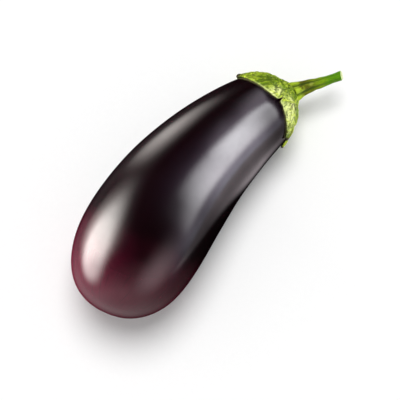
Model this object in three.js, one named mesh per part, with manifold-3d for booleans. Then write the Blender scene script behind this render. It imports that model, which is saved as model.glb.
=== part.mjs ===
// An eggplant lying on its side: the fruit, the green calyx that caps its shoulder, and the stem.
// Millimetres, +Z up. The origin is the middle of the small flat spot that the fruit rests on,
// and the fruit runs along +X from its blossom end to its stem, bowed sideways towards +Y.

import * as THREE from "three";
import { mergeVertices } from "three/addons/utils/BufferGeometryUtils.js";
import Module from "manifold-3d";

const wasm = await Module();
wasm.setup();

// ---- Driving dimensions ----

// The bowed centreline of the fruit. It drops 1 mm in 10 towards the stem, because the fruit
// narrows that way and lies on its flank.
const CENTRELINE = new THREE.CubicBezierCurve3(
  new THREE.Vector3(-86.9, -18.1, 46.2),
  new THREE.Vector3(-17.2, 1.6, 39.2),
  new THREE.Vector3(31.6, 10.3, 34.3),
  new THREE.Vector3(110.4, -13.4, 26.5),
);
const CENTRELINE_LENGTH = CENTRELINE.getLength();

// The fruit's outline: radii, and distances along the centreline from the blossom end.
const BELLY_RADIUS = 41.5;
const BELLY_AT = 60;
const NECK_RADIUS = 27.1;
const NECK_AT = 174;
const NECK_TAPER = 0.212; // radius lost per millimetre at the neck
const FRUIT_LENGTH = 199.5;
const SECTION_HEIGHT = 0.97; // the fruit is a little wider than it is tall

// How far each smooth curve of the outline reaches from its end before it turns.
const BLOSSOM_FULLNESS = 0.53; // share of the belly radius
const BELLY_FULLNESS = 0.75; // share of the length from blossom end to belly
const FLANK_REACH = 26;
const NECK_REACH = 30;
const SHOULDER_REACH = 14;
const TOP_FULLNESS = 0.48; // share of the neck radius

// The calyx: a leathery cap with five pointed lobes that lie back along the fruit.
const GAP = 0.3; // between pieces that touch
const CALYX_RIM_THICKNESS = 1.4;
const CALYX_SHOULDER_THICKNESS = 2.4;
const SEAT_RADIUS = 6; // the flat in the middle of the calyx that carries the stem
const SEAT_RISE = 2.4; // from the fruit's top to that flat
const SEAT_BLEND = 5; // over which the seat runs out into the rest of the calyx
const NOTCH_REACH = 30; // from the fruit's top, along its skin, to the notches between lobes
const LIFT_FROM = 0.7; // share of a lobe's reach that lies on the fruit; the rest turns up

// Each lobe: its tip's angle round the fruit (0 is -Y, 90 is up), the notch that follows it, how far
// its tip reaches along the skin, how high the tip turns up, and the power of its edge, which is
// full below 1 and hollow above it.
const LOBES = [
  { tip: 12, notch: 75, reach: 40, lift: 0.9, edge: 1.35 },
  { tip: 160, notch: 192, reach: 40, lift: 1.0, edge: 0.6 },
  { tip: 222, notch: 248, reach: 40.5, lift: 1.2, edge: 0.9 },
  { tip: 273, notch: 302, reach: 38, lift: 0.3, edge: 1.0 },
  { tip: 338, notch: 350, reach: 42.5, lift: 2.4, edge: 1.7 },
];
const TURN = 360;

// The stem: its own centreline, measured from the end of the fruit's centreline as
// [along it, sideways towards -Y, up], and [distance from its foot, radius].
const STEM_LINE = [
  [0, 1.5, 0],
  [11, 2.2, 0.4],
  [22, 6.6, 1.2],
  [34.9, 9.2, 2.6],
];
const STEM_RADII = [
  [0, 6.8],
  [4, 5.5],
  [9, 4.5],
  [17, 3.8],
  [28, 3.1],
];
const STEM_CUT_RADIUS = 3.2;

// The plane of the flat spot is the surface that the fruit lies on.
const FLOOR_BLOCK = { length: 140, width: 80, depth: 10 };

// How finely each round piece is divided: round it, and along it.
const FRUIT_STEPS = { round: 56, along: 44 };
const CALYX_STEPS = { round: 84, along: 10 };
const STEM_STEPS = { round: 24, along: 14 };

// ---- Shared geometry ----

// The point at a distance along a curve, with the curve's direction, the sideways direction
// towards -Y and the upward direction there. Past its end the curve runs straight on.
function frameAlong(curve, length, distance) {
  const share = THREE.MathUtils.clamp(distance / length, 0, 1);
  const along = curve.getTangentAt(share);
  const point = curve
    .getPointAt(share)
    .addScaledVector(along, distance - share * length);
  const side = new THREE.Vector3()
    .crossVectors(along, new THREE.Vector3(0, 0, 1))
    .normalize();
  const up = new THREE.Vector3().crossVectors(side, along);
  return { point, along, side, up };
}

// Moves every vertex of a geometry to where place(vertex) says.
function reshape(geometry, place) {
  const position = geometry.getAttribute("position");
  const vertex = new THREE.Vector3();
  for (let i = 0; i < position.count; i++) {
    const moved = place(vertex.fromBufferAttribute(position, i));
    position.setXYZ(i, moved.x, moved.y, moved.z);
  }
  geometry.computeVertexNormals();
  return geometry;
}

// A point of a section across a curve: x towards the side and z upwards, y along the curve.
function acrossCurve(curve, length, { x, y, z }) {
  const { point, side, up } = frameAlong(curve, length, y);
  return point.addScaledVector(side, x).addScaledVector(up, z);
}

function onCentreline(vertex) {
  return acrossCurve(CENTRELINE, CENTRELINE_LENGTH, vertex);
}

// A closed geometry as a solid, and a solid as a geometry.
function toSolid(geometry) {
  const bare = geometry.clone();
  bare.deleteAttribute("normal");
  bare.deleteAttribute("uv");
  const merged = mergeVertices(bare, 1e-4);
  return new wasm.Manifold(
    new wasm.Mesh({
      numProp: 3,
      vertProperties: merged.getAttribute("position").array,
      triVerts: new Uint32Array(merged.index.array),
    }),
  );
}

function toGeometry(solid) {
  const { vertProperties, triVerts } = solid.getMesh();
  const geometry = new THREE.BufferGeometry();
  geometry.setAttribute(
    "position",
    new THREE.BufferAttribute(vertProperties, 3),
  );
  geometry.setIndex(new THREE.BufferAttribute(triVerts, 1));
  geometry.computeVertexNormals();
  return geometry;
}

// ---- Fruit ----

// Half of the fruit's section along its length, from the blossom end to the top under the stem:
// x is the radius and y the distance along the centreline.
const fruitOutline = new THREE.Path()
  .moveTo(0, 0)
  .bezierCurveTo(
    BELLY_RADIUS * BLOSSOM_FULLNESS,
    0,
    BELLY_RADIUS,
    BELLY_AT * (1 - BELLY_FULLNESS),
    BELLY_RADIUS,
    BELLY_AT,
  )
  .bezierCurveTo(
    BELLY_RADIUS,
    BELLY_AT + FLANK_REACH,
    NECK_RADIUS + NECK_TAPER * NECK_REACH,
    NECK_AT - NECK_REACH,
    NECK_RADIUS,
    NECK_AT,
  )
  .bezierCurveTo(
    NECK_RADIUS - NECK_TAPER * SHOULDER_REACH,
    NECK_AT + SHOULDER_REACH,
    NECK_RADIUS * TOP_FULLNESS,
    FRUIT_LENGTH,
    0,
    FRUIT_LENGTH,
  );
const OUTLINE_LENGTH = fruitOutline.getLength();

function makeFruit() {
  const profile = fruitOutline.getSpacedPoints(FRUIT_STEPS.along);
  const body = new THREE.LatheGeometry(profile, FRUIT_STEPS.round);
  reshape(body, ({ x, y, z }) =>
    onCentreline({ x, y, z: z * SECTION_HEIGHT }),
  );
  const { length, width, depth } = FLOOR_BLOCK;
  const floor = new THREE.BoxGeometry(length, width, depth);
  floor.translate(0, 0, -depth / 2);
  return toGeometry(toSolid(body).subtract(toSolid(floor)));
}

// ---- Calyx ----

// How far the calyx reaches from the fruit's top along the skin, at an angle round the fruit.
// Also how high its tip turns up there.
function lobeAt(degrees) {
  const angle = THREE.MathUtils.euclideanModulo(degrees, TURN);
  for (let i = 0; i < LOBES.length; i++) {
    const lobe = LOBES[i];
    const before = LOBES[(i + LOBES.length - 1) % LOBES.length].notch;
    const start = before > lobe.notch ? before - TURN : before;
    const at = angle > lobe.notch && start < 0 ? angle - TURN : angle;
    if (at < start || at > lobe.notch) continue;
    const share =
      at < lobe.tip
        ? (at - start) / (lobe.tip - start)
        : (lobe.notch - at) / (lobe.notch - lobe.tip);
    return {
      reach: NOTCH_REACH + (lobe.reach - NOTCH_REACH) * share ** lobe.edge,
      lift: lobe.lift * share ** 2,
    };
  }
  throw new Error(`no lobe at ${degrees} degrees`);
}

// The calyx's own thickness at a distance from the fruit's top. Round the top it makes up for the
// fall of the shoulder, so that its outside is flat there.
function calyxThickness(distance, share, shoulder) {
  const plain = THREE.MathUtils.lerp(
    CALYX_SHOULDER_THICKNESS,
    CALYX_RIM_THICKNESS,
    share,
  );
  const seat = SEAT_RISE + FRUIT_LENGTH - shoulder;
  const blend = THREE.MathUtils.smoothstep(distance, SEAT_RADIUS, SEAT_RADIUS + SEAT_BLEND);
  return THREE.MathUtils.lerp(seat, plain, blend);
}

// A disc of radius 1 and height 1 is wrapped over the fruit's shoulder: a point's distance from
// the disc's middle becomes its share of the lobe's reach, and its height the share of thickness.
function makeCalyx() {
  const profile = [];
  for (let i = 0; i <= CALYX_STEPS.along; i++) {
    profile.push(new THREE.Vector2(i / CALYX_STEPS.along, 0));
  }
  for (let i = CALYX_STEPS.along; i >= 0; i--) {
    profile.push(new THREE.Vector2(i / CALYX_STEPS.along, 1));
  }
  const disc = new THREE.LatheGeometry(profile, CALYX_STEPS.round);
  return reshape(disc, (vertex) => {
    const share = Math.hypot(vertex.x, vertex.z);
    const angle = Math.atan2(vertex.z, vertex.x);
    const { reach, lift } = lobeAt(THREE.MathUtils.radToDeg(angle));
    const distance = share * reach;
    const shoulder = fruitOutline.getPointAt(1 - distance / OUTLINE_LENGTH);
    const tangent = fruitOutline.getTangentAt(1 - distance / OUTLINE_LENGTH);
    const turnUp = lift * THREE.MathUtils.smoothstep(share, LIFT_FROM, 1);
    const height =
      GAP +
      turnUp +
      vertex.y * calyxThickness(distance, share, shoulder.y);
    const radius = share < 1e-6 ? 0 : shoulder.x + tangent.y * height;
    return onCentreline({
      x: radius * Math.cos(angle),
      y: shoulder.y - tangent.x * height,
      z: radius * Math.sin(angle) * SECTION_HEIGHT,
    });
  });
}

// ---- Stem ----

function makeStem() {
  const foot = FRUIT_LENGTH + 2 * GAP + SEAT_RISE;
  const base = frameAlong(CENTRELINE, CENTRELINE_LENGTH, foot);
  const points = STEM_LINE.map(([along, side, up]) =>
    base.point
      .clone()
      .addScaledVector(base.along, along)
      .addScaledVector(base.side, side)
      .addScaledVector(base.up, up),
  );
  const line = new THREE.CubicBezierCurve3(...points);
  const length = line.getLength();
  const flank = new THREE.SplineCurve(
    [...STEM_RADII, [length, STEM_CUT_RADIUS]].map(
      ([distance, radius]) => new THREE.Vector2(radius, distance),
    ),
  );
  const profile = [
    new THREE.Vector2(0, 0),
    ...flank.getPoints(STEM_STEPS.along),
    new THREE.Vector2(0, length),
  ];
  const rod = new THREE.LatheGeometry(profile, STEM_STEPS.round);
  return reshape(rod, (vertex) => acrossCurve(line, length, vertex));
}

// ---- The whole eggplant ----

function named(name, geometry, material) {
  const mesh = new THREE.Mesh(geometry, material);
  mesh.name = name;
  return mesh;
}

const skin = new THREE.MeshStandardMaterial({
  color: 0x1b0c14,
  roughness: 0.25,
  metalness: 0,
});
const calyxGreen = new THREE.MeshStandardMaterial({
  color: 0x8aab3c,
  roughness: 0.5,
  metalness: 0,
});
const stemGreen = new THREE.MeshStandardMaterial({
  color: 0x66852c,
  roughness: 0.55,
  metalness: 0,
});

const eggplant = new THREE.Group();
eggplant.add(
  named("fruit", makeFruit(), skin),
  named("calyx", makeCalyx(), calyxGreen),
  named("stem", makeStem(), stemGreen),
);

export default eggplant;
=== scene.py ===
# %% [markdown]
# # An eggplant lying on its side
# A picked eggplant is three things: a heavy fruit with a tight, waxy skin, a leathery green calyx
# that caps its shoulder, and the stem it was cut by. It would never stand up unheld, so it lies on
# its flank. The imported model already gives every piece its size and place. Blender's work is the
# surface: the slow swells of the skin, the wrinkled cap and the ridged stem, and their finishes.

# %% Load the frame
import math
from bisect import bisect_right

import bmesh
import bpy
from mathutils import Matrix, Vector, noise
from mathutils.geometry import interpolate_bezier


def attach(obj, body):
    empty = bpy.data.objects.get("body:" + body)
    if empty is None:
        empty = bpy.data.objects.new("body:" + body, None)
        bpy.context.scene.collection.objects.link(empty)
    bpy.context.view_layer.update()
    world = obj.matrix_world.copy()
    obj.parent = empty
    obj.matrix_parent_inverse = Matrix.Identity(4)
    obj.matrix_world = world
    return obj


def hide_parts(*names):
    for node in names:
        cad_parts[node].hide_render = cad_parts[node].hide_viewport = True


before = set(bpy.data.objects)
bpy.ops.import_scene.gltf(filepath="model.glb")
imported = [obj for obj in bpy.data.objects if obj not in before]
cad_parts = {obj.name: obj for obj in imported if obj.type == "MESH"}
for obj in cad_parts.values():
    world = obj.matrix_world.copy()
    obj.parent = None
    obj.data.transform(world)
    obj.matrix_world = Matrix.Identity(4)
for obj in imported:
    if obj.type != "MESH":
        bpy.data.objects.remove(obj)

MM = 0.001  # the sizes below are written in millimetres and turned into metres
NOISE_SEED = 4
noise.seed_set(NOISE_SEED)  # without a seed, noise_vector is different each run
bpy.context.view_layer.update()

# %% [markdown]
# ## The camera
# The camera looks down steeply on the eggplant. It could stand close with a short lens, but the
# nearest parts would then look swollen. A long lens from 0.73 m keeps the true proportions.

# %% Camera
CAMERA_BEARING, CAMERA_HEIGHT = -140, 76
CAMERA_DISTANCE = 733.3 * MM
CAMERA_LENS, SENSOR_WIDTH = 100, 36  # Blender takes these two in millimetres
AIM = Vector((10.0, -16.5, 36.2)) * MM


def compass(bearing, height):
    """The unit vector towards a bearing (from +X towards +Y) and a height, both in degrees."""
    bearing, height = math.radians(bearing), math.radians(height)
    flat = math.cos(height)
    return Vector((math.cos(bearing) * flat, math.sin(bearing) * flat, math.sin(height)))


def in_scene(name, data):
    """A new object in the scene, made from a mesh, a lamp or a camera."""
    made = bpy.data.objects.new(name, data)
    bpy.context.scene.collection.objects.link(made)
    return made


camera_data = bpy.data.cameras.new("camera")
camera_data.lens = CAMERA_LENS
camera_data.sensor_width = SENSOR_WIDTH
camera = in_scene("camera", camera_data)
sight = compass(CAMERA_BEARING, CAMERA_HEIGHT)
camera.location = AIM + sight * CAMERA_DISTANCE
camera.rotation_euler = sight.to_track_quat("Z", "Y").to_euler()
bpy.context.scene.camera = camera
print("camera at", [round(c, 3) for c in camera.location])

# %% [markdown]
# ## A curve that can be walked
# The fruit and the stem are both turned shapes that have been bent: a section that changes along a
# curved line. They could be lofted ring by ring. It is simpler to turn each one straight, as on a
# lathe, and then to bend it, so this cell makes a curve that can be asked for its place and its
# direction at any distance along it. The outline that goes round the lathe is walked the same way.
# Each curve is cut into a thousand short legs. With only a hundred or so, every small change of
# direction between two legs would show as a ripple in the gloss.

# %% Walking along a curve
class Walk:
    """A chain of Bezier curves, walked by distance from its start."""

    def __init__(self, *curves, fineness=1000):
        self.points = [Vector(curves[0][0])]
        for curve in curves:
            self.points += interpolate_bezier(*curve, fineness)[1:]
        self.reached = [0.0]
        for a, b in zip(self.points, self.points[1:]):
            self.reached.append(self.reached[-1] + (b - a).length)
        self.length = self.reached[-1]

    def at(self, distance):
        """The place and the direction at a distance. Past its ends the curve runs straight on."""
        leg = bisect_right(self.reached, distance) - 1
        leg = min(max(leg, 0), len(self.points) - 2)
        direction = (self.points[leg + 1] - self.points[leg]).normalized()
        return self.points[leg] + direction * (distance - self.reached[leg]), direction

    def distance_at_x(self, x):
        """How far along the curve it first comes to a value of x, on a curve where x only grows."""
        leg = bisect_right(self.points, x, key=lambda point: point.x) - 1
        leg = min(max(leg, 0), len(self.points) - 2)
        run = self.points[leg + 1].x - self.points[leg].x
        share = (x - self.points[leg].x) / run if run > 0 else 0.0
        return self.reached[leg] + share * (self.reached[leg + 1] - self.reached[leg])


UP = Vector((0, 0, 1))


def bend(walk, straight):
    """Where a point of a straight piece goes: x is the distance along, y to the side, z upwards."""
    place, along = walk.at(straight.x)
    side = along.cross(UP).normalized()
    return place + side * straight.y + side.cross(along) * straight.z


# %% [markdown]
# ## Turning a piece
# A straight piece starts as its outline, a chain of edges, and the spin operator turns it about the X
# axis. Every vertex then remembers its grain: the cosine and sine of its angle round the piece, and
# its distance along it. A pattern that reads the grain runs with the piece round every bend, with no
# seam, which a pattern on plain coordinates can't do.

# %% Spinning an outline and keeping its grain
WELD = 0.001 * MM


def turn(outline, steps):
    """A bmesh of an outline of (distance, radius) points, turned once about the X axis."""
    bm = bmesh.new()
    chain = [bm.verts.new((distance, radius, 0)) for distance, radius in outline]
    for a, b in zip(chain, chain[1:]):
        bm.edges.new((a, b))
    whole = {"cent": (0, 0, 0), "axis": (1, 0, 0), "angle": math.tau, "use_merge": True}
    bmesh.ops.spin(bm, geom=bm.verts[:] + bm.edges[:], steps=steps, **whole)
    bmesh.ops.remove_doubles(bm, verts=bm.verts[:], dist=WELD)
    bmesh.ops.recalc_face_normals(bm, faces=bm.faces[:])
    return bm


def keep_grain(bm):
    """Writes each vertex's grain from where it is on the straight piece, and returns the layer."""
    grain = bm.verts.layers.float_vector.new("grain")
    for vertex in bm.verts:
        x, y, z = vertex.co
        angle = math.atan2(z, y)
        vertex[grain] = (math.cos(angle), math.sin(angle), x)
    return grain


def mesh_object(name, bm, *finishes):
    """Turns a bmesh into an object, with its finishes in order."""
    mesh = bpy.data.meshes.new(name)
    bm.to_mesh(mesh)
    bm.free()
    for finish in finishes:
        mesh.materials.append(finish)
    print(name, "has", len(mesh.polygons), "faces")
    return in_scene(name, mesh)


def make_piece(name, bm, *finishes):
    """A smooth piece of the eggplant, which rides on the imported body."""
    piece = mesh_object(name, bm, *finishes)
    piece.data.shade_smooth()
    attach(piece, "root")
    return piece


# %% [markdown]
# ## Building a finish
# Every finish here is a Principled shader with a few patterns plugged into it, and the room's light
# is painted with the same nodes. These helpers keep each pattern to one line, so that a finish reads
# as a list of what is on the surface. What is the same all over stays on the shader's own socket.

# %% Patterns made of nodes
class Nodes:
    """A tree of nodes under construction."""

    def __init__(self, tree):
        self.tree = tree

    def add(self, kind, inputs=None, **settings):
        """A node with its settings, and its inputs linked or set."""
        node = self.tree.nodes.new(kind)
        for setting, value in settings.items():
            setattr(node, setting, value)
        for socket, value in (inputs or {}).items():
            self.plug(value, node.inputs[socket])
        return node

    def plug(self, value, socket):
        """Links a node's output to a socket, or sets the socket to a plain value."""
        if isinstance(value, bpy.types.NodeSocket):
            self.tree.links.new(value, socket)
        else:
            socket.default_value = value

    def stretch(self, place, scale):
        """A place with each axis scaled, to draw a pattern out along one of them."""
        node = self.add("ShaderNodeMapping", {"Vector": place, "Scale": scale})
        return node.outputs["Vector"]

    def noise(self, place, scale, detail=4.0, roughness=0.55, distortion=0.0):
        """Cloudy noise from 0 to 1; on plain places the scale is features per metre."""
        inputs = {"Vector": place, "Scale": scale, "Detail": detail}
        inputs |= {"Roughness": roughness, "Distortion": distortion}
        return self.add("ShaderNodeTexNoise", inputs).outputs["Fac"]

    def cells(self, place, scale, feature="F1"):
        """A measure of distance in a pattern of cells, such as how far the nearest middle is."""
        inputs = {"Vector": place, "Scale": scale}
        return self.add("ShaderNodeTexVoronoi", inputs, feature=feature).outputs["Distance"]

    def band(self, value, low, high, bottom=0.0, top=1.0):
        """A value that climbs smoothly from bottom at low to top at high."""
        inputs = {"Value": value, "From Min": low, "From Max": high, "To Min": bottom, "To Max": top}
        node = self.add("ShaderNodeMapRange", inputs, interpolation_type="SMOOTHSTEP")
        return node.outputs["Result"]

    def sum(self, operation, a, b=0.0, c=0.0):
        """One sum, such as MULTIPLY or MAXIMUM, on values."""
        node = self.add("ShaderNodeMath", operation=operation)
        for socket, value in zip(node.inputs, (a, b, c)):
            self.plug(value, socket)
        return node.outputs["Value"]

    def vector_sum(self, operation, output, *inputs):
        """One sum, such as DOT_PRODUCT or LENGTH, on vectors."""
        node = self.add("ShaderNodeVectorMath", operation=operation)
        for socket, value in zip(node.inputs, inputs):
            self.plug(value, socket)
        return node.outputs[output]

    def part_of(self, vector, axis):
        """One of a vector's three numbers."""
        return self.add("ShaderNodeSeparateXYZ", {"Vector": vector}).outputs[axis]

    def blend(self, share, under, over):
        """The colour under, covered by the colour over by a share from 0 to 1."""
        node = self.add("ShaderNodeMix", data_type="RGBA")
        self.plug(share, node.inputs[0])
        self.plug(under, node.inputs[6])
        self.plug(over, node.inputs[7])
        return node.outputs[2]

    def layered(self, colour, *layers):
        """A colour with others laid over it in turn, each given as its share and itself."""
        for share, over in layers:
            colour = self.blend(share, colour, over)
        return colour


# %% Finishes made of patterns
class Finish(Nodes):
    """A material under construction."""

    def __init__(self, name, **sockets):
        self.material = bpy.data.materials.new(name)
        self.material.use_nodes = True
        super().__init__(self.material.node_tree)
        self.shader = self.tree.nodes["Principled BSDF"]
        self.wear(**sockets)
        self.object_place = self.add("ShaderNodeTexCoord").outputs["Object"]

    def attribute(self, name, output="Fac"):
        """A value kept on the mesh's vertices, or with output="Vector" three values."""
        return self.add("ShaderNodeAttribute", attribute_name=name).outputs[output]

    def edge_on(self):
        """0 where the surface is seen squarely, 1 where it is seen edge on."""
        return self.add("ShaderNodeLayerWeight", {"Blend": 0.5}).outputs["Facing"]

    def relief(self, height, depth, normal=None):
        """Bump of a height from 0 to 1, as deep as depth in metres."""
        inputs = {"Height": height, "Distance": depth, "Strength": 1.0}
        if normal:
            inputs["Normal"] = normal
        return self.add("ShaderNodeBump", inputs).outputs["Normal"]

    def wear(self, **sockets):
        """Plugs patterns or plain values into the shader, and returns the material."""
        for socket, value in sockets.items():
            self.plug(value, self.shader.inputs[socket.replace("_", " ")])
        return self.material


# %% [markdown]
# ## The fruit's shape
# The fruit is a pear-like body on a bowed centreline, with a full blossom end, a belly 83 mm thick
# and a neck that narrows to the shoulder under the calyx. The outline is three Bezier curves that
# meet at the belly and the neck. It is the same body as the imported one, with about four times as
# many faces each way, so that reflections slide over it with no facets.

# %% Fruit dimensions
CENTRELINE = Walk([
    Vector((-86.9, -18.1, 46.2)) * MM,
    Vector((-17.2, 1.6, 39.2)) * MM,
    Vector((31.6, 10.3, 34.3)) * MM,
    Vector((110.4, -13.4, 26.5)) * MM,
])
FRUIT_LENGTH = 199.5 * MM
BELLY_AT = 60 * MM
BELLY_RADIUS = 41.5 * MM
NECK_AT = 174 * MM
NECK_RADIUS = 27.1 * MM
NECK_TAPER = 0.212
SECTION_HEIGHT = 0.97
# How far the outline runs on straight before it turns, at the belly and either side of the neck,
# and how blunt its two ends are.
BELLY_RUN = 26 * MM
NECK_RUN_IN = 30 * MM
NECK_RUN_OUT = 14 * MM
BLOSSOM_BLUNTNESS = 0.53 * BELLY_RADIUS
BELLY_STARTS = 0.25 * BELLY_AT
SHOULDER_BLUNTNESS = 0.48 * NECK_RADIUS

BELLY, NECK = (BELLY_AT, BELLY_RADIUS), (NECK_AT, NECK_RADIUS)
BEFORE_NECK = (NECK_AT - NECK_RUN_IN, NECK_RADIUS + NECK_TAPER * NECK_RUN_IN)
AFTER_NECK = (NECK_AT + NECK_RUN_OUT, NECK_RADIUS - NECK_TAPER * NECK_RUN_OUT)
OUTLINE = Walk(
    [(0, 0), (0, BLOSSOM_BLUNTNESS), (BELLY_STARTS, BELLY_RADIUS), BELLY],
    [BELLY, (BELLY_AT + BELLY_RUN, BELLY_RADIUS), BEFORE_NECK, NECK],
    [NECK, AFTER_NECK, (FRUIT_LENGTH, SHOULDER_BLUNTNESS), (FRUIT_LENGTH, 0)],
)
print("outline is", round(OUTLINE.length / MM, 1), "mm long from blossom end to top")

# %% [markdown]
# A real skin isn't a perfect turning. It has very shallow flutes that run its length, and slow
# swells a few centimetres across, about a third of a millimetre deep. On a glossy skin that is enough
# to make the edge of a reflection wander. Both fade out under the calyx, which has to fit closely.
# The blossom end is drawn in round the small scar that the flower left. Underneath, the flesh gives
# where it rests, so anything that would go below the surface is eased up to it.

# %% Swells, the drawn-in blossom end and the resting spot
FLUTES = 5
FLUTE_DEPTH = 0.22 * MM
FLUTE_TURN = 1.3  # radians round the fruit
SWELL_DEPTH = 0.45 * MM
SWELL_SIZE = 38 * MM
SWELLS_FULL_FROM = 25 * MM
CALM_FROM, CALM_TO = NECK_AT - 35 * MM, NECK_AT - 8 * MM
BY_A_POLE = 5 * MM
SCAR_RADIUS = 3.6 * MM
SCAR_DEPTH = 1.1 * MM
SCAR_FROM_POLE = 17 * MM
DIMPLE_WIDTH = 2.2 * SCAR_RADIUS
PUCKERS = 9
PUCKER_DEPTH = 0.3  # a share of the dimple's
PRESS_SOFTNESS = 0.25 * MM


def ease(value, low, high):
    """0 below low, 1 above high, and a smooth climb between."""
    share = min(max((value - low) / (high - low), 0.0), 1.0)
    return share * share * (3 - 2 * share)


def skin_offset(distance, angle, straight):
    """How far the skin stands out from the plain turning at one of its points."""
    loose = 1 - ease(distance, CALM_FROM, CALM_TO)
    flutes = FLUTE_DEPTH * math.cos(FLUTES * angle + FLUTE_TURN)
    swells = SWELL_DEPTH * noise.noise(straight / SWELL_SIZE)
    return (flutes + swells) * loose * ease(distance, 0, SWELLS_FULL_FROM)


scar_edge, scar_downhill = OUTLINE.at(SCAR_FROM_POLE)
SCAR_MIDDLE = Vector((scar_edge.x, 0, -scar_edge.y * SECTION_HEIGHT))
SCAR_INWARD = Vector((scar_downhill.y, 0, scar_downhill.x)).normalized()


def scar_offset(straight):
    """How far the skin dips at a point by the scar, puckered where it was drawn in, and how far the
    point is from the scar's middle."""
    away = straight - SCAR_MIDDLE
    distance = away.length
    angle = math.atan2(away.y, away.dot(SCAR_INWARD.cross(Vector((0, 1, 0)))))
    dimple = math.exp(-((distance / DIMPLE_WIDTH) ** 2))
    pucker = PUCKER_DEPTH * math.cos(PUCKERS * angle) * ease(distance, 0, SCAR_RADIUS)
    return SCAR_INWARD * SCAR_DEPTH * dimple * (1 + pucker), distance


def press_on_floor(height):
    """Eases a height that would be below the floor up to it."""
    return 0.5 * (height + math.hypot(height, PRESS_SOFTNESS))


FRUIT_RINGS = 190
FRUIT_SECTORS = 200
outline = [OUTLINE.at(OUTLINE.length * i / FRUIT_RINGS)[0] for i in range(FRUIT_RINGS + 1)]
outline[0] = (0, 0)
outline[-1] = (FRUIT_LENGTH, 0)
fruit = turn(outline, FRUIT_SECTORS)
keep_grain(fruit)
from_scar = fruit.verts.layers.float.new("from_scar")
for vertex in fruit.verts:
    straight = vertex.co.copy()
    radius = math.hypot(straight.y, straight.z)
    angle = math.atan2(straight.z, straight.y)
    outward = 1 + skin_offset(straight.x, angle, straight) / max(radius, BY_A_POLE)
    straight.y *= outward
    straight.z *= outward * SECTION_HEIGHT
    dimple, vertex[from_scar] = scar_offset(straight)
    vertex.co = bend(CENTRELINE, straight + dimple)
    vertex.co.z = press_on_floor(vertex.co.z)
lowest = min(vertex.co.z for vertex in fruit.verts)
bmesh.ops.translate(fruit, verts=fruit.verts[:], vec=(0, 0, -lowest))
print("the fruit is set down by, mm:", round(lowest / MM, 3))

# %% [markdown]
# ## The skin's colours
# The skin is nearly black along the top and over most of its length, and a deep maroon at the blossom
# end and low on its sides. The maroon is painted light, where light from below and from the blossom
# end's side brings the skin's red up, and the black reaches sooner along the top, as painted shade.
# On it lie fine streaks that run from end to end and a few tiny, pale pores. Round the scar it is
# brown and corky, and just under the edge of the calyx, where no sun reached it, it is paler and
# greenish. Colours painted on the vertices would blur, so each of these is a pattern, and lays its
# own colour over the ones before it.

# %% Skin colours
INK = (0.0022, 0.0003, 0.0007, 1)
MAROON = (0.068, 0.0038, 0.0145, 1)
PLUM = (0.0065, 0.0016, 0.0045, 1)
PORE = (0.050, 0.030, 0.036, 1)
CORK = (0.115, 0.060, 0.030, 1)
UNDER_CALYX = (0.160, 0.150, 0.070, 1)
MAROON_FADES_FROM, MAROON_FADES_TO = 32 * MM, 88 * MM
TOP_DARKENS_SOONER = 22 * MM  # how much sooner the top turns black along the fruit, as painted shade
CLOUDS_MOVE_FADE = 36 * MM
PORES_PER_METRE = 520
PORE_STRENGTH = 0.3
SHADE_STRENGTH = 0.6


def skin_colour(skin, grain, streaks, scar):
    """The colours from the painted maroon light to the cork, each laid over the last."""
    place = skin.object_place
    # Painted light: the skin is maroon low on the sides and at the blossom end, and turns black
    # sooner along the top.
    height_round = skin.part_of(grain, "Y")
    painted_light_fade = skin.sum("MULTIPLY_ADD", height_round, TOP_DARKENS_SOONER, skin.part_of(grain, "Z"))
    clouds = skin.noise(place, 30, detail=4)
    painted_light_fade = skin.sum("MULTIPLY_ADD", clouds, CLOUDS_MOVE_FADE, painted_light_fade)
    pores = skin.band(skin.cells(place, PORES_PER_METRE), 0.05, 0.16, bottom=1, top=0)
    sparse = skin.band(skin.noise(place, 190, detail=2), 0.52, 0.62)
    pores = skin.sum("MULTIPLY", pores, sparse)
    shaded = skin.band(skin.attribute("from_calyx"), -0.5 * MM, 1.5 * MM, bottom=1, top=0)
    return skin.layered(
        MAROON,
        (skin.band(painted_light_fade, MAROON_FADES_FROM, MAROON_FADES_TO), INK),
        (skin.band(streaks, 0.52, 0.75, top=0.7), PLUM),
        (skin.sum("MULTIPLY", pores, PORE_STRENGTH), PORE),
        (skin.sum("MULTIPLY", shaded, SHADE_STRENGTH), UNDER_CALYX),
        (scar, CORK),
    )


# %% [markdown]
# ## The wax on the skin
# What shines is a wax that the fruit grows over its skin, so all of the gloss is in a clear coat, a
# little rougher than glass, and the shader's own is off. The coat's weight says how full the wax is:
# fullest on the near side of the neck, where it has a dusty bloom, thin on the near side of the belly
# and close to the calyx, and missing on the scar. A softbox caught at a grazing angle turns a whole
# rim white, so the coat also thins where the skin is seen edge on, sooner along the top.

# %% Skin wax
WAX = 0.9
# What the near side adds to the wax at three places.
WAX_AT_BELLY, WAX_ON_NECK, WAX_BY_CALYX = -0.58, 0.10, -0.65
HAZY_WAX, BLOOM_WAX, RIM_WAX = 0.88, 0.90, 0.05  # the shares of it that are left there
# How much more edge on the skin counts as seen along the top and at the blossom end.
CROWN_LEAN, BLOSSOM_LEAN = 0.28, -0.06
RIM_FROM, RIM_TO = 0.50, 0.82


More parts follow.
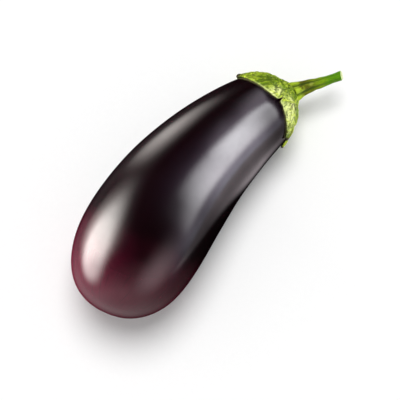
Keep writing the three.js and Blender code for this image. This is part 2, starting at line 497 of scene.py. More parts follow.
def wax_weight(skin, grain, haze, bloom, scar):
    """How full the wax is all over the skin."""
    along = skin.part_of(grain, "Z")
    near_side = skin.band(skin.part_of(grain, "X"), 0.0, 0.35)
    extra = skin.band(along, 74 * MM, 119 * MM, bottom=WAX_AT_BELLY, top=WAX_ON_NECK)
    extra = skin.sum("MULTIPLY", extra, skin.band(along, 35 * MM, 60 * MM))
    extra = skin.sum("ADD", extra, skin.band(along, 145 * MM, 172 * MM, top=WAX_BY_CALYX))
    wax = skin.sum("MULTIPLY_ADD", extra, near_side, WAX)
    wax = skin.sum("MULTIPLY_ADD", scar, -WAX, wax)
    wax = skin.sum("MULTIPLY", wax, skin.band(haze, 0.3, 0.75, bottom=1, top=HAZY_WAX))
    return skin.sum("MULTIPLY", wax, skin.band(bloom, 0.0, 1.0, bottom=1.02, top=BLOOM_WAX))


def left_at_rim(skin, grain):
    """The share of the wax that still mirrors, which falls where the skin is seen edge on."""
    along = skin.part_of(grain, "Z")
    crown = skin.band(skin.part_of(grain, "Y"), 0.90, 0.965, top=CROWN_LEAN)
    crown = skin.sum("MULTIPLY", crown, skin.band(along, 25 * MM, 70 * MM))
    grazed = skin.sum("ADD", skin.edge_on(), crown)
    blossom_end = skin.band(along, 10 * MM, 55 * MM, bottom=BLOSSOM_LEAN, top=0)
    grazed = skin.sum("ADD", grazed, blossom_end)
    return skin.band(grazed, RIM_FROM, RIM_TO, bottom=1, top=RIM_WAX)


# %% [markdown]
# The finish puts the colours and the wax over a fine relief, which the coat shares: a grain that can
# hardly be felt, faint hammering, the streaks, and the rough cork of the scar. The roughness under
# the coat is for viewers that show no coat.

# %% Skin finish
def skin_finish():
    gloss = {"IOR": 1.5, "Specular_IOR_Level": 0.0, "Coat_IOR": 1.5, "Coat_Roughness": 0.18}
    skin = Finish("waxy_eggplant_skin", **gloss)
    place = skin.object_place
    grain = skin.attribute("grain", "Vector")
    streaks = skin.noise(skin.stretch(grain, (9, 9, 14)), 3, detail=5, roughness=0.7)
    ragged = skin.noise(place, 700, detail=3)
    scar_size = skin.sum("MULTIPLY_ADD", ragged, 2.2 * MM, skin.attribute("from_scar"))
    scar = skin.band(scar_size, 3.2 * MM, 4.4 * MM, bottom=1, top=0)
    colour = skin_colour(skin, grain, streaks, scar)

    haze = skin.noise(place, 60, detail=5, roughness=0.65)
    dust = skin.noise(place, 90, detail=5, roughness=0.7)
    on_neck = skin.band(skin.part_of(grain, "Z"), 88 * MM, 120 * MM)
    unrubbed = skin.sum("MULTIPLY", skin.part_of(grain, "X"), on_neck)
    bloom = skin.band(dust, 0.3, 0.7, bottom=0.6)
    bloom = skin.sum("MULTIPLY", bloom, skin.band(unrubbed, 0.1, 0.6))
    wax = wax_weight(skin, grain, haze, bloom, scar)
    wax = skin.sum("MULTIPLY", wax, left_at_rim(skin, grain))
    rough = skin.band(haze, 0.3, 0.75, bottom=0.18, top=0.27)
    rough = skin.sum("MULTIPLY_ADD", bloom, 0.17, rough)
    rough = skin.sum("MULTIPLY_ADD", scar, 0.45, rough)

    surface = skin.relief(skin.noise(place, 1500, detail=3, roughness=0.6), 0.018 * MM)
    surface = skin.relief(skin.noise(place, 260, detail=3), 0.008 * MM, surface)
    surface = skin.relief(streaks, 0.015 * MM, surface)
    surface = skin.relief(skin.sum("MULTIPLY", scar, ragged), 0.6 * MM, surface)
    coat = {"Coat_Weight": wax, "Coat_Normal": surface}
    return skin.wear(Base_Color=colour, Roughness=rough, Normal=surface, **coat)


# %% [markdown]
# ## The calyx's shape
# The calyx is the flower's own cup of sepals, grown leathery, with five pointed lobes that lie back
# over the shoulder. Where two of them meet, the swelling fruit has split it a little further. It
# could be cut from a thickened copy of the fruit, but its edge would then be stepped. Here it starts
# as a flat disc, grown outwards ring by ring and thickened, and is draped: a point's distance from
# the middle becomes its share of the way to the lobe's edge, along the skin.

# %% Calyx dimensions
GAP = 0.3 * MM
RIM_THICKNESS = 0.75 * MM
SHOULDER_THICKNESS = 2.2 * MM
SEAT_RADIUS = 6.0 * MM
SEAT_RISE = 2.4 * MM
SEAT_BLEND = 5.0 * MM
NOTCH_REACH = 30 * MM
LIFT_FROM = 0.7  # a share of the way to the edge

# Each lobe: the angle of its tip and of the notch after it, both round the fruit with 0 towards -Y
# and 90 upwards, how far its tip reaches, how high the tip turns up, how full its edge is, and how
# many degrees its seam leans over on the way from the notch to the stem.
LOBES = [
    {"tip": 12, "notch": 75, "reach": 40 * MM, "lift": 0.9 * MM, "edge": 1.35, "lean": -55},
    {"tip": 160, "notch": 192, "reach": 40 * MM, "lift": 1.0 * MM, "edge": 0.6, "lean": 10},
    {"tip": 222, "notch": 248, "reach": 40.5 * MM, "lift": 1.2 * MM, "edge": 0.9, "lean": -12},
    {"tip": 273, "notch": 302, "reach": 38 * MM, "lift": 0.3 * MM, "edge": 1.0, "lean": 8},
    {"tip": 338, "notch": 350, "reach": 40.3 * MM, "lift": 1.5 * MM, "edge": 1.7, "lean": 0},
]
RAGGED_EDGE = 0.7 * MM
RAGGED_FINENESS = 5.5
SPLIT_DEPTH = 4.5 * MM
SPLIT_SPREAD = 2.6  # degrees either side of a notch


def angle_between(a, b):
    """The angle between two directions in degrees, from -180 to 180."""
    return (a - b + 180) % 360 - 180


def line(value, width):
    """1 where a value is 0, falling to 0 at a width either side."""
    return max(0.0, 1 - abs(value) / width)


def lobe_at(angle):
    """The lobe at an angle in degrees, and the share of the way from its notch to its tip there."""
    angle %= 360
    for i, lobe in enumerate(LOBES):
        start = LOBES[i - 1]["notch"]
        if start > lobe["notch"]:
            start -= 360
        here = angle - 360 if angle > lobe["notch"] and start < 0 else angle
        if start <= here <= lobe["notch"]:
            if here < lobe["tip"]:
                return lobe, (here - start) / (lobe["tip"] - start)
            return lobe, (lobe["notch"] - here) / (lobe["notch"] - lobe["tip"])
    raise ValueError(f"no lobe at {angle} degrees")


def reach_at(angle):
    """How far the calyx reaches along the skin, with a slightly ragged edge and split notches."""
    lobe, share = lobe_at(angle)
    split = max(line(angle_between(angle, other["notch"]), SPLIT_SPREAD) for other in LOBES)
    across = math.radians(angle)
    round_it = Vector((math.cos(across), math.sin(across), 0.7))
    ragged = noise.fractal(round_it * RAGGED_FINENESS, 0.8, 2.3, 5) * RAGGED_EDGE
    lobe_reach = NOTCH_REACH + (lobe["reach"] - NOTCH_REACH) * share ** lobe["edge"]
    return lobe_reach + ragged - SPLIT_DEPTH * split


# %% [markdown]
# The cap's relief carries its character. A stout rib runs from the stem to the tip of each lobe, and
# a raised seam marks where two sepals have grown together, from the stem to the notch. Between them
# the leather has shrunk into hollows, is netted by thin raised veins, and is creased into folds. Each
# of these is kept on the mesh as a value, so that the colour can follow the shape: a painted
# highlight on what is raised and where the relief stands out, and painted shade in the folds.

# %% Ribs, seams, veins and folds
RIB_HEIGHT = 0.8 * MM
RIB_WIDTH = 1.5 * MM
SEAM_HEIGHT = 0.7 * MM
SEAM_WIDTH = 0.8 * MM
RIB_WANDER, SEAM_WANDER = 9, 6  # degrees
VEIN_HEIGHT, VEIN_SPACING = 0.35 * MM, 4.4 * MM
FOLD_DEPTH, FOLD_SPACING = 0.8 * MM, 5.5 * MM
HOLLOW_DEPTH, HOLLOW_SPACING = 1.0 * MM, 7 * MM
WARP_SPACING = 6 * MM
# Where the leather is pale: an angle, how far it spreads, and the distance where it starts.
PALE_SIDES = [(48, 20, 12 * MM), (89, 8, 18 * MM), (200, 25, 16 * MM), (290, 18, 20 * MM)]
PALE_FADE = 9 * MM


def calyx_relief(angle, share, distance, radius):
    """How far the cap's outside stands out from its plain thickness, and its veins and folds."""
    lobe, _ = lobe_at(angle)
    wander = RIB_WANDER * noise.noise(Vector((share * 3, LOBES.index(lobe) * 5.1, 0.3)))
    off_rib = math.radians(angle_between(angle, lobe["tip"] + wander)) * radius
    rib = math.exp(-((off_rib / RIB_WIDTH) ** 2))
    seam = 0.0
    for number, other in enumerate(LOBES):
        wander = SEAM_WANDER * noise.noise(Vector((share * 4, number * 3.7, 8.3)))
        leaning = other["notch"] + other["lean"] * (1 - share) + wander * (1 - share)
        off_seam = math.radians(angle_between(angle, leaning)) * radius
        seam = max(seam, math.exp(-((off_seam / SEAM_WIDTH) ** 2)))

    across = math.radians(angle)
    place = Vector((math.cos(across) * radius, math.sin(across) * radius, distance * 0.30))
    warped = place + noise.noise_vector(place / WARP_SPACING) * 1.6 * MM
    veins = line(noise.noise(warped / VEIN_SPACING), 0.12)
    folds = line(noise.noise(warped / FOLD_SPACING + Vector((7, 3, 5))), 0.22)
    hollows = noise.fractal(place / HOLLOW_SPACING + Vector((2, 9, 4)), 0.8, 2.1, 3)
    fade_in = ease(distance, SEAT_RADIUS - 1 * MM, SEAT_RADIUS + 4 * MM)
    # These marks carry painted light into the colour: a painted highlight on what is raised.
    raised = max(rib * 0.8, seam, veins * fade_in)
    height = RIB_HEIGHT * rib + SEAM_HEIGHT * seam + VEIN_HEIGHT * veins
    height -= FOLD_DEPTH * folds * (1 - max(rib, seam)) - HOLLOW_DEPTH * hollows
    height *= fade_in * (1 - 0.45 * ease(share, 0.85, 1.0))
    # Painted shade: the folds are darkened in the colour.
    folded = folds * fade_in * (1 - seam)
    pale = max(
        math.exp(-((angle_between(angle, side) / spread) ** 2))
        * ease(distance, start, start + PALE_FADE)
        for side, spread, start in PALE_SIDES
    )
    return height, raised, folded, hollows, pale


# %% [markdown]
# The disc is a small circle, filled, whose rim is extruded outwards again and again. Extruding its
# faces once more gives the cup its second side and its edge. Both sides have the same rings, so the
# edge can be rounded by thinning the last few.

# %% Growing the disc
CALYX_RINGS = 76
CALYX_SECTORS = 400
EDGE_ROUNDING = 0.03  # the share of the reach over which the edge is rounded off
THINNEST = 0.5 * MM
MIDDLE_SHARE = 1e-6  # a point this close to the disc's middle has no angle


def grow_disc(rings, sectors):
    """A flat closed disc of radius 1, with its underside at z = 0 and its outside at z = 1."""
    bm = bmesh.new()
    bmesh.ops.create_circle(bm, cap_ends=True, cap_tris=True, segments=sectors, radius=1 / rings)
    rim = [edge for edge in bm.edges if edge.is_boundary]
    for ring in range(2, rings + 1):
        grown = bmesh.ops.extrude_edge_only(bm, edges=rim)["geom"]
        verts = [part for part in grown if isinstance(part, bmesh.types.BMVert)]
        bmesh.ops.scale(bm, verts=verts, vec=Vector((1, 1, 1)) * ring / (ring - 1))
        rim = [part for part in grown if isinstance(part, bmesh.types.BMEdge) and part.is_boundary]
    raised = bmesh.ops.extrude_face_region(bm, geom=bm.faces[:], use_keep_orig=True)["geom"]
    verts = [part for part in raised if isinstance(part, bmesh.types.BMVert)]
    bmesh.ops.translate(bm, verts=verts, vec=(0, 0, 1))
    bmesh.ops.recalc_face_normals(bm, faces=bm.faces[:])
    return bm


# %% Draping it over the shoulder
def drape(angle, share, side):
    """Where a point of the disc lies over the fruit's shoulder, with what is kept on it there."""
    lobe, tip_share = lobe_at(angle)
    distance = share * reach_at(angle)
    shoulder, downhill = OUTLINE.at(OUTLINE.length - distance)
    plain = SHOULDER_THICKNESS + (RIM_THICKNESS - SHOULDER_THICKNESS) * share
    seat = SEAT_RISE + FRUIT_LENGTH - shoulder.x
    off_seat = ease(distance, SEAT_RADIUS, SEAT_RADIUS + SEAT_BLEND)
    thickness = seat + (plain - seat) * off_seat
    relief, *marks = calyx_relief(angle, share, distance, shoulder.y)
    thickness = max(thickness + relief, THINNEST)
    past = max(0.0, share - 1 + EDGE_ROUNDING) / EDGE_ROUNDING
    thickness *= 0.3 + 0.7 * math.sqrt(max(0.0, 1 - past * past))
    turn_up = lobe["lift"] * tip_share**2 * ease(share, LIFT_FROM, 1)
    height = GAP + turn_up + side * thickness
    radius = shoulder.y + downhill.x * height if share > MIDDLE_SHARE else 0.0
    across = math.radians(angle)
    straight = Vector((
        shoulder.x - downhill.y * height,
        radius * math.cos(across),
        radius * math.sin(across) * SECTION_HEIGHT,
    ))
    return bend(CENTRELINE, straight), distance, tip_share, marks


calyx = grow_disc(CALYX_RINGS, CALYX_SECTORS)
calyx_grain = calyx.verts.layers.float_vector.new("grain")
calyx_share = calyx.verts.layers.float.new("share")
calyx_tip = calyx.verts.layers.float.new("tip")
MARKS = ("raised", "folded", "hollow", "pale")
calyx_marks = [calyx.verts.layers.float.new(name) for name in MARKS]
for vertex in calyx.verts:
    share = math.hypot(vertex.co.x, vertex.co.y)
    angle = math.degrees(math.atan2(vertex.co.y, vertex.co.x)) if share > MIDDLE_SHARE else 0.0
    place, distance, tip_share, marks = drape(angle, share, vertex.co.z)
    across = math.radians(angle)
    vertex[calyx_grain] = (math.cos(across), math.sin(across), distance)
    vertex[calyx_share] = share
    vertex[calyx_tip] = tip_share * share
    for layer, mark in zip(calyx_marks, marks):
        vertex[layer] = mark
    vertex.co = place
bmesh.ops.recalc_face_normals(calyx, faces=calyx.faces[:])
print("calyx's lowest point, mm:", round(min(v.co.z for v in calyx.verts) / MM, 2))

# %% [markdown]
# Now that the calyx's edge is known, the skin can be told how far each of its points lies outside
# that edge, so that it can pale just under it. With that the fruit is whole.

# %% Telling the skin where the calyx ends
from_calyx = fruit.verts.layers.float.new("from_calyx")
fruit_grain = fruit.verts.layers.float_vector["grain"]
for vertex in fruit.verts:
    cosine, sine, distance = vertex[fruit_grain]
    from_top = OUTLINE.length - OUTLINE.distance_at_x(distance)
    vertex[from_calyx] = from_top - reach_at(math.degrees(math.atan2(sine, cosine)))
covered = sum(vertex[from_calyx] < 0 for vertex in fruit.verts) / len(fruit.verts)
print(f"the calyx covers {covered:.0%} of the skin's points")

skin_piece = make_piece("skin_and_flesh", fruit, skin_finish())
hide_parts("fruit")

# %% [markdown]
# ## The leather of the calyx
# Its green is patchy, in tones that vary at random. It is painted yellow-green on the ribs, seams and
# veins and where the relief stands out, as a painted highlight on what stands up, and cream along the
# tops of the fibres. It is painted dark in the folds and in the grooves between the fibres, as
# painted shade. It is nearly cream along the thin edge, and paler, nearly cream, in wide patches at
# given angles round the cap. Fine dark cracks net the surface, and the tips of the lobes have dried
# black. It has a low waxy shine that catches on the ribs.

# %% Calyx finish
LEAF = (0.085, 0.145, 0.004, 1)
LIME = (0.215, 0.295, 0.014, 1)
CREAM = (0.560, 0.600, 0.230, 1)
RIDGE_HIGHLIGHT = (0.360, 0.440, 0.040, 1)
MOSS = (0.026, 0.045, 0.004, 1)
OLIVE_BROWN = (0.070, 0.052, 0.012, 1)
DRIED = (0.014, 0.010, 0.005, 1)


def calyx_finish():
    leather = Finish("calyx_leather", IOR=1.45, Specular_IOR_Level=0.10)
    place = leather.object_place
    grain = leather.attribute("grain", "Vector")
    share, tip = leather.attribute("share"), leather.attribute("tip")
    raised, folded, hollow, pale_side = [leather.attribute(name) for name in MARKS]

    fibres = leather.noise(leather.stretch(grain, (9, 9, 110)), 2.6, detail=6, roughness=0.7)
    patches = leather.noise(place, 150, detail=6, roughness=0.7, distortion=0.8)
    net = leather.cells(place, 520, "DISTANCE_TO_EDGE")
    crack = leather.band(net, 0.0, 0.10, bottom=1, top=0)
    broken = leather.band(leather.noise(place, 230, detail=3), 0.42, 0.58)
    crack = leather.sum("MULTIPLY", crack, broken)

    # Random patches, with painted light where the relief stands out.
    patches_and_lit_rises = leather.sum("MULTIPLY_ADD", hollow, 0.30, patches)
    pale = leather.sum("MULTIPLY", pale_side, leather.band(fibres, 0.3, 0.5))
    edge = leather.band(tip, 0.2, 0.7, bottom=0.5, top=0.0)
    edge = leather.sum("MULTIPLY", edge, leather.band(share, 0.965, 0.99))
    scuffs = leather.noise(place, 240, detail=5, roughness=0.75)
    scuffs = leather.sum("MULTIPLY_ADD", tip, 0.09, scuffs)
    dry = leather.band(leather.sum("MULTIPLY_ADD", patches, 0.16, tip), 0.95, 1.01)
    # Painted highlight on the raised marks and the fibres' tops, painted shade in the folds and the
    # fibres' grooves.
    colour = leather.layered(
        LEAF,
        (leather.band(patches_and_lit_rises, 0.44, 0.66), LIME),
        (pale, CREAM),
        (leather.band(raised, 0.2, 0.9, top=0.8), RIDGE_HIGHLIGHT),
        (leather.band(fibres, 0.58, 0.72, top=0.8), CREAM),
        (leather.band(fibres, 0.35, 0.49, bottom=0.95, top=0), MOSS),
        (leather.band(folded, 0.2, 1.3, top=0.9), MOSS),
        (leather.sum("MULTIPLY", crack, 0.8), MOSS),
        (edge, CREAM),
        (leather.band(scuffs, 0.60, 0.69, top=0.8), OLIVE_BROWN),
        (dry, DRIED),
    )

    sheen = leather.band(patches, 0.3, 0.7, bottom=0.34, top=0.55)
    sheen = leather.sum("MULTIPLY_ADD", dry, 0.3, sheen)
    surface = leather.relief(leather.noise(place, 900, detail=3), 0.08 * MM)
    surface = leather.relief(fibres, 0.8 * MM, surface)
    surface = leather.relief(leather.sum("SUBTRACT", 1, crack), 0.3 * MM, surface)
    return leather.wear(Base_Color=colour, Roughness=sheen, Normal=surface)


calyx_piece = make_piece("calyx_cap", calyx, calyx_finish())
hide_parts("calyx")

# %% [markdown]
# ## The stem
# The stem flares at its foot, where it spreads into the calyx in ridges, one for each lobe. They fade
# along it, so that it is five-sided at the foot and nearly round where it was cut. It is turned
# straight and bent like the fruit, so first it needs its own curve and its radius along it.

# %% Stem dimensions
STEM_FOOT = FRUIT_LENGTH + 2 * GAP + SEAT_RISE
# Millimetres along, to the side and upwards from the foot, and then the radius at each distance.
STEM_LINE = [(0, 1.5, 0), (11, 2.2, 0.4), (22, 6.6, 1.2), (34.9, 9.2, 2.6)]
STEM_RADII = [(0, 6.8), (4, 5.5), (9, 4.5), (17, 3.8), (28, 3.1)]
STEM_CUT_RADIUS = 3.2 * MM

foot_place, foot_along = CENTRELINE.at(STEM_FOOT)
foot_side = foot_along.cross(UP).normalized()
foot_up = foot_side.cross(foot_along)


def from_foot(along, side, up):
    """A point given in millimetres along the fruit's end, to its side and upwards from the foot."""
    return foot_place + (foot_along * along + foot_side * side + foot_up * up) * MM


STEM = Walk([from_foot(*point) for point in STEM_LINE])


def stem_radius(distance):
    """The radius at a distance from the foot, in straight runs between the given ones."""
    marks = [(a * MM, r * MM) for a, r in STEM_RADII] + [(STEM.length, STEM_CUT_RADIUS)]
    for (a, ra), (b, rb) in zip(marks, marks[1:]):
        if distance <= b:
            return ra + (rb - ra) * (distance - a) / (b - a)
    return STEM_CUT_RADIUS


print("stem is", round(STEM.length / MM, 1), "mm long")

# %% [markdown]
# The knife went through the stem aslant both ways, and the cut end is a shallow dish: the skin stands
# a hair proud of the pith, which shrinks as it dries. The end is turned with the rest, square, and
# the last few millimetres are then pushed into the slant.

# %% Turn and bend the stem
STEM_RINGS = 90
STEM_SECTORS = 72
STEM_RIDGES = 5
RIDGE_TURN = 0.6  # radians round the stem
RIDGE_HEIGHT = 0.55 * MM
KNOB_HEIGHT, KNOB_SPACING = 0.35 * MM, 5 * MM
CUT_SLANT = math.tan(math.radians(20))
CUT_SKEW = math.tan(math.radians(17))
CUT_BEYOND = 0.8 * MM
SLANT_OVER = 6 * MM
SKIN_WALL = 0.4 * MM
CUT_BEVEL = 0.7 * MM
PITH_DEPTH = 0.45 * MM


def smooth_radius(distance, reach=2.5 * MM):
    """The stem's radius averaged over a short stretch, so that its flare has no corners."""
    samples = [min(max(distance + reach * k / 4, 0), STEM.length) for k in range(-4, 5)]
    return sum(stem_radius(sample) for sample in samples) / len(samples)


wall_length = STEM.length - CUT_BEVEL
wall_steps = [wall_length * i / STEM_RINGS for i in range(STEM_RINGS + 1)]
side_wall = [(step, smooth_radius(step)) for step in wall_steps]
end_radius = side_wall[-1][1]
cut_end = [
    (STEM.length - 0.5 * CUT_BEVEL, end_radius - 0.15 * CUT_BEVEL),
    (STEM.length, end_radius - 0.6 * CUT_BEVEL),
    (STEM.length, end_radius - 0.6 * CUT_BEVEL - SKIN_WALL),
    (STEM.length - 0.15 * MM, end_radius - CUT_BEVEL - 1.5 * SKIN_WALL),
    (STEM.length - PITH_DEPTH, 0.35 * end_radius),
    (STEM.length - PITH_DEPTH, 0),
]
stem = turn([(0, 0)] + side_wall + cut_end, STEM_SECTORS)
stem_grain = keep_grain(stem)
groove_shade = stem.verts.layers.float.new("groove_shade")
for vertex in stem.verts:
    straight = vertex.co.copy()
    angle = math.atan2(straight.z, straight.y)
    share = straight.x / STEM.length
    ridge = math.cos(STEM_RIDGES * angle - RIDGE_TURN)
    swell = ridge * RIDGE_HEIGHT * (1 - 0.75 * ease(share, 0, 0.8))
    # Painted shade: how dark the colour is in the grooves between the ridges.
    vertex[groove_shade] = 0.75 * ease(-ridge, 0.2, 1) * (1 - 0.7 * ease(share, 0.3, 0.9))
    round_it = Vector((math.cos(angle) * 1.6, math.sin(angle) * 1.6, straight.x / KNOB_SPACING))
    knobs = KNOB_HEIGHT * noise.noise(round_it)
    radius = math.hypot(straight.y, straight.z)
    grow = 1 + (swell + knobs) / end_radius * min(1.0, radius / end_radius)
    straight.y *= grow
    straight.z *= grow
    slanted = ease(straight.x, STEM.length - SLANT_OVER, wall_length)
    straight.x += (CUT_BEYOND - CUT_SLANT * straight.z - CUT_SKEW * straight.y) * slanted
    vertex.co = bend(STEM, straight)
bmesh.ops.recalc_face_normals(stem, faces=stem.faces[:])

# %% [markdown]
# ## The stem's finish
# At its foot the stem has the calyx's light green. Above that it is an olive brown, mottled with
# grey, and it clears to a fresh green towards the cut. Long fibres run its length, and it is painted
# darker in the hollows between the ridges, as painted shade. The cut face has a pale ring of wood
# round a soft pith that has begun to brown, so it is a finish of its own, on the faces past the wall.

# %% Stem finishes
COLLAR = (0.210, 0.290, 0.016, 1)
OLIVE = (0.090, 0.112, 0.005, 1)
BARK = (0.050, 0.046, 0.004, 1)
LIGHT_GREEN = (0.108, 0.172, 0.005, 1)
FRESH = (0.052, 0.145, 0.002, 1)
BOTTLE = (0.010, 0.030, 0.003, 1)
ASH = (0.180, 0.198, 0.040, 1)
PALE_WOOD = (0.350, 0.400, 0.215, 1)
PITH = (0.200, 0.180, 0.100, 1)


def stem_finish():
    stalk = Finish("stem_skin", IOR=1.45, Specular_IOR_Level=0.075)
    place = stalk.object_place
    grain = stalk.attribute("grain", "Vector")
    along = stalk.part_of(grain, "Z")
    fibres = stalk.noise(stalk.stretch(grain, (7, 7, 90)), 2.0, detail=6, roughness=0.65)
    patches = stalk.noise(place, 260, detail=5, roughness=0.65)
    freshness = stalk.sum("MULTIPLY_ADD", patches, 16 * MM, along)
    grey = stalk.band(stalk.noise(place, 170, detail=4), 0.54, 0.64, top=0.75)
    speckle = stalk.cells(stalk.stretch(grain, (5, 5, 420)), 1.6)
    colour = stalk.layered(
        OLIVE,
        (stalk.band(patches, 0.42, 0.6), BARK),
        (grey, ASH),
        (stalk.band(freshness, 11 * MM, 15 * MM, bottom=1, top=0), COLLAR),
        (stalk.band(freshness, 18 * MM, 31 * MM), LIGHT_GREEN),
        (stalk.band(freshness, 27 * MM, 38 * MM), FRESH),
        (stalk.band(fibres, 0.32, 0.47, bottom=0.9, top=0), BOTTLE),
        # painted shade in the grooves between the ridges
        (stalk.attribute("groove_shade"), BOTTLE),
        (stalk.band(speckle, 0.08, 0.2, bottom=0.6, top=0), ASH),
    )
    surface = stalk.relief(fibres, 0.35 * MM)
    surface = stalk.relief(stalk.noise(place, 1200, detail=3), 0.05 * MM, surface)
    sheen = stalk.band(patches, 0.3, 0.7, bottom=0.36, top=0.52)
    return stalk.wear(Base_Color=colour, Roughness=sheen, Normal=surface)


def cut_finish():
    cut = Finish("stem_cut_face", IOR=1.4, Specular_IOR_Level=0.2)
    place = cut.object_place
    radius = cut.attribute("from_core")
    pores = cut.noise(place, 2500, detail=3)
    colour = cut.blend(cut.band(radius, 0.28, 0.5), PITH, PALE_WOOD)
    colour = cut.blend(cut.band(pores, 0.5, 0.7, top=0.5), colour, PITH)
    surface = cut.relief(pores, 0.1 * MM)
    rough = cut.band(pores, 0.3, 0.7, bottom=0.6, top=0.8)
    return cut.wear(Base_Color=colour, Roughness=rough, Normal=surface)


CUT_SLOT = 1
stem_end, end_direction = STEM.at(STEM.length)
from_core = stem.verts.layers.float.new("from_core")
for vertex in stem.verts:
    off_line = vertex.co - stem_end
    along_end = off_line.dot(end_direction)
    vertex[from_core] = (off_line - end_direction * along_end).length / end_radius
for face in stem.faces:
    if all(vertex[stem_grain].z > wall_length + 0.1 * CUT_BEVEL for vertex in face.verts):
        face.material_index = CUT_SLOT
stem_piece = make_piece("cut_stem", stem, stem_finish(), cut_finish())
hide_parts("stem")

# %% [markdown]
# ## The studio
# The eggplant lies on a wide, pale table. It glows a little, as if it were lit from below, so that it
# stays nearly white and keeps only a soft shadow where the fruit comes close to it.

# %% Table
TABLE_RADIUS = 4.0
TABLE_GLOW = 0.08


def table_finish():
    glow = {"Emission_Color": (1, 1, 1, 1), "Emission_Strength": TABLE_GLOW}
    table = Finish("pale_table", Specular_IOR_Level=0.10, **glow)
    fleck = table.noise(table.object_place, 400, detail=2)
    colour = table.blend(fleck, (0.83, 0.83, 0.83, 1), (0.85, 0.85, 0.85, 1))
    return table.wear(Base_Color=colour, Roughness=0.9)


table_top = bmesh.new()
bmesh.ops.create_circle(table_top, cap_ends=True, segments=64, radius=TABLE_RADIUS)
floor = mesh_object("floor", table_top, table_finish())
floor.visible_glossy = False

# %% [markdown]
# A glossy dark skin shows little but what it reflects, so the light is made in two parts. First come
# three lamps that light things and aren't mirrored. A low one on the blossom end's side brings up its
# maroon, and one beside the calyx brings up the greens. Both would throw long shadows on the table,
# so flags keep them off it: here, a flag is a list of the pieces that a lamp may light. The third is
# a wide light overhead, even all over the table, which leaves a soft shadow close under the fruit.

# %% Lamps
MIDDLE = Vector((10, -5, 35)) * MM


def lamp(name, bearing, height, size, power, distance=1.3):
    """A rectangular light aimed at the eggplant. Its size is its width and height in metres."""
    light = bpy.data.lights.new(name, "AREA")
    light.shape = "RECTANGLE"
    light.size, light.size_y = size
    light.energy = power
    box = in_scene(name, light)
    away = compass(bearing, height)
    box.location = MIDDLE + away * distance
    box.rotation_euler = away.to_track_quat("Z", "Y").to_euler()
    box.visible_camera = False
    box.visible_glossy = False
    return box


def flag_off(box, *pieces):
    """Keeps a lamp off everything but these pieces."""
    box.light_linking.receiver_collection = bpy.data.collections.new(box.name + "_lights")
    for piece in pieces:
        box.light_linking.receiver_collection.objects.link(piece)


low_lamp = lamp("low_lamp", bearing=122, height=20, size=(1.3, 1.0), power=40)
flag_off(low_lamp, skin_piece, calyx_piece, stem_piece)
calyx_lamp = lamp("calyx_lamp", bearing=-50, height=20, size=(0.6, 0.6), power=24)
flag_off(calyx_lamp, calyx_piece, stem_piece)

overhead = bpy.data.lights.new("overhead", "SUN")
overhead.energy = 2.3
overhead.angle = math.radians(34)
overhead_lamp = in_scene("overhead", overhead)
overhead_lamp.rotation_euler = compass(35, 74).to_track_quat("Z", "Y").to_euler()
overhead_lamp.visible_glossy = False

# %% [markdown]
# The second part is what the skin mirrors. A pale card lies on the table beside the calyx end, and
# puts a soft pale edge on the flank above it. Only a mirrored ray sees it, so it does nothing else.
# It glows least in the middle and more far off and close in, which keeps that edge from going flat,
# and its two ends fade.

# %% Card
GLOW_FAR, GLOW_MIDDLE, GLOW_NEAR = 2.3, 1.3, 2.9
CARD_LEFT, CARD_RIGHT = 30 * MM, 450 * MM
CARD_FAR, CARD_NEAR = -650 * MM, -40 * MM
CARD_HEIGHT = 0.5 * MM


def card_finish():
    card = Finish("pale_card", Specular_IOR_Level=0.0, Emission_Color=(1, 0.88, 0.93, 1))
    across = card.part_of(card.object_place, "X")
    outwards = card.part_of(card.object_place, "Y")
    glow = card.band(outwards, -330 * MM, -110 * MM, bottom=GLOW_FAR, top=GLOW_MIDDLE)
    close = card.band(outwards, -95 * MM, -50 * MM, top=GLOW_NEAR - GLOW_MIDDLE)
    glow = card.sum("ADD", glow, close)
    glow = card.sum("MULTIPLY", glow, card.band(across, 38 * MM, 58 * MM))
    glow = card.sum("MULTIPLY", glow, card.band(across, 360 * MM, 445 * MM, bottom=1, top=0.6))
    return card.wear(Base_Color=(0, 0, 0, 1), Roughness=0.9, Emission_Strength=glow)


corners = [(CARD_LEFT, CARD_FAR), (CARD_RIGHT, CARD_FAR)]
corners += [(CARD_RIGHT, CARD_NEAR), (CARD_LEFT, CARD_NEAR)]
sheet = bmesh.new()
sheet.faces.new([sheet.verts.new((x, y, CARD_HEIGHT)) for x, y in corners])
card = mesh_object("card", sheet, card_finish())
for ray in ("camera", "diffuse", "shadow", "transmission"):
    setattr(card, "visible_" + ray, False)

# %% [markdown]
# The rest of what the skin mirrors is softboxes with edges that fade, in a dark room. They could be
# glowing panels, but painted on the room itself, by direction, each is one row of numbers. Two large
# ones low on the far side draw the bright streak down the bulge, and a long one over the near side
# draws the broad band along the back. The faint ones are the room's pale walls.

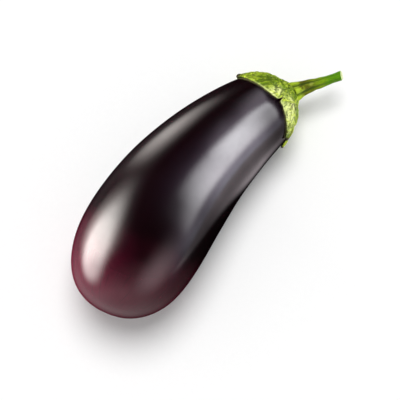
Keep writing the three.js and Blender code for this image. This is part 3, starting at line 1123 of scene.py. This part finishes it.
# %% Mirrored softboxes
# Each: bearing, height and roll in degrees, half width, half height, softness, colour.
SOFTBOXES = [
    (124, 22, 59, 0.45, 0.60, 0.32, (12.6, 12.5, 12.0)),
    (111, 21, -2, 0.38, 0.50, 0.60, (10.4, 9.40, 8.90)),
    (-37, 34, 44, 0.41, 0.12, 0.34, (18.9, 19.1, 19.6)),
    (-42, 29, 44, 0.54, 0.21, 0.90, (1.44, 1.00, 1.68)),
    (9, 38, -36, 0.32, 0.11, 0.85, (3.10, 2.84, 3.24)),
    (-61, 2, -8, 0.11, 0.31, 0.70, (4.10, 4.15, 4.75)),
    (-91, 25, 0, 0.42, 0.34, 0.85, (2.40, 1.80, 1.94)),
    (63, 0, 18, 0.12, 0.29, 0.91, (6.50, 6.04, 5.76)),
    (153, -23, 48, 1.15, 0.40, 0.97, (0.50, 0.46, 0.46)),
    (210, -13, 52, 0.87, 0.72, 0.50, (0.88, 0.86, 0.84)),
]
ROOM_DARK = (0.004, 0.003, 0.003)
FULLY_AHEAD = 0.35  # a softbox fades out from here to the half of the room behind it

world = bpy.data.worlds.new("studio")
bpy.context.scene.world = world
world.use_nodes = True
world.cycles.sampling_method = "NONE"
room = Nodes(world.node_tree)
direction = room.add("ShaderNodeTexCoord").outputs["Generated"]


def how_far(towards):
    """How far the direction of a ray goes towards a vector."""
    return room.vector_sum("DOT_PRODUCT", "Value", direction, towards)


mirrored = ROOM_DARK
for bearing, height, roll, half_width, half_height, softness, colour in SOFTBOXES:
    centre = compass(bearing, height)
    level = Vector((-math.sin(math.radians(bearing)), math.cos(math.radians(bearing)), 0))
    turned = Matrix.Rotation(math.radians(roll), 3, centre)
    wide = turned @ level / half_width
    tall = turned @ centre.cross(level) / half_height
    offset = room.add("ShaderNodeCombineXYZ", {"X": how_far(wide), "Y": how_far(tall)})
    off_middle = room.vector_sum("LENGTH", "Value", offset.outputs["Vector"])
    shape = room.band(off_middle, 1 - softness, 1 + softness, bottom=1, top=0)
    ahead = room.band(how_far(-centre), -FULLY_AHEAD, 0.0, bottom=1, top=0)
    lit = room.vector_sum("MULTIPLY", "Vector", shape, ahead)
    mirrored = room.vector_sum("MULTIPLY_ADD", "Vector", lit, colour, mirrored)
print(len(SOFTBOXES), "softboxes are painted on the room")

# %% [markdown]
# The room shows the softboxes only to a mirrored ray. Soft light that bounces about gets an even
# fill, and the camera sees a pale wall past the table's edge.

# %% Room
ROOM_FILL = (0.42, 0.42, 0.42, 1)
ROOM_SEEN = (0.95, 0.95, 0.95, 1)

rays = room.add("ShaderNodeLightPath").outputs
shown = room.blend(rays["Is Glossy Ray"], ROOM_FILL, mirrored)
shown = room.blend(rays["Is Camera Ray"], shown, ROOM_SEEN)
room.plug(shown, room.tree.nodes["Background"].inputs["Color"])
bpy.context.scene.view_settings.view_transform = "Standard"
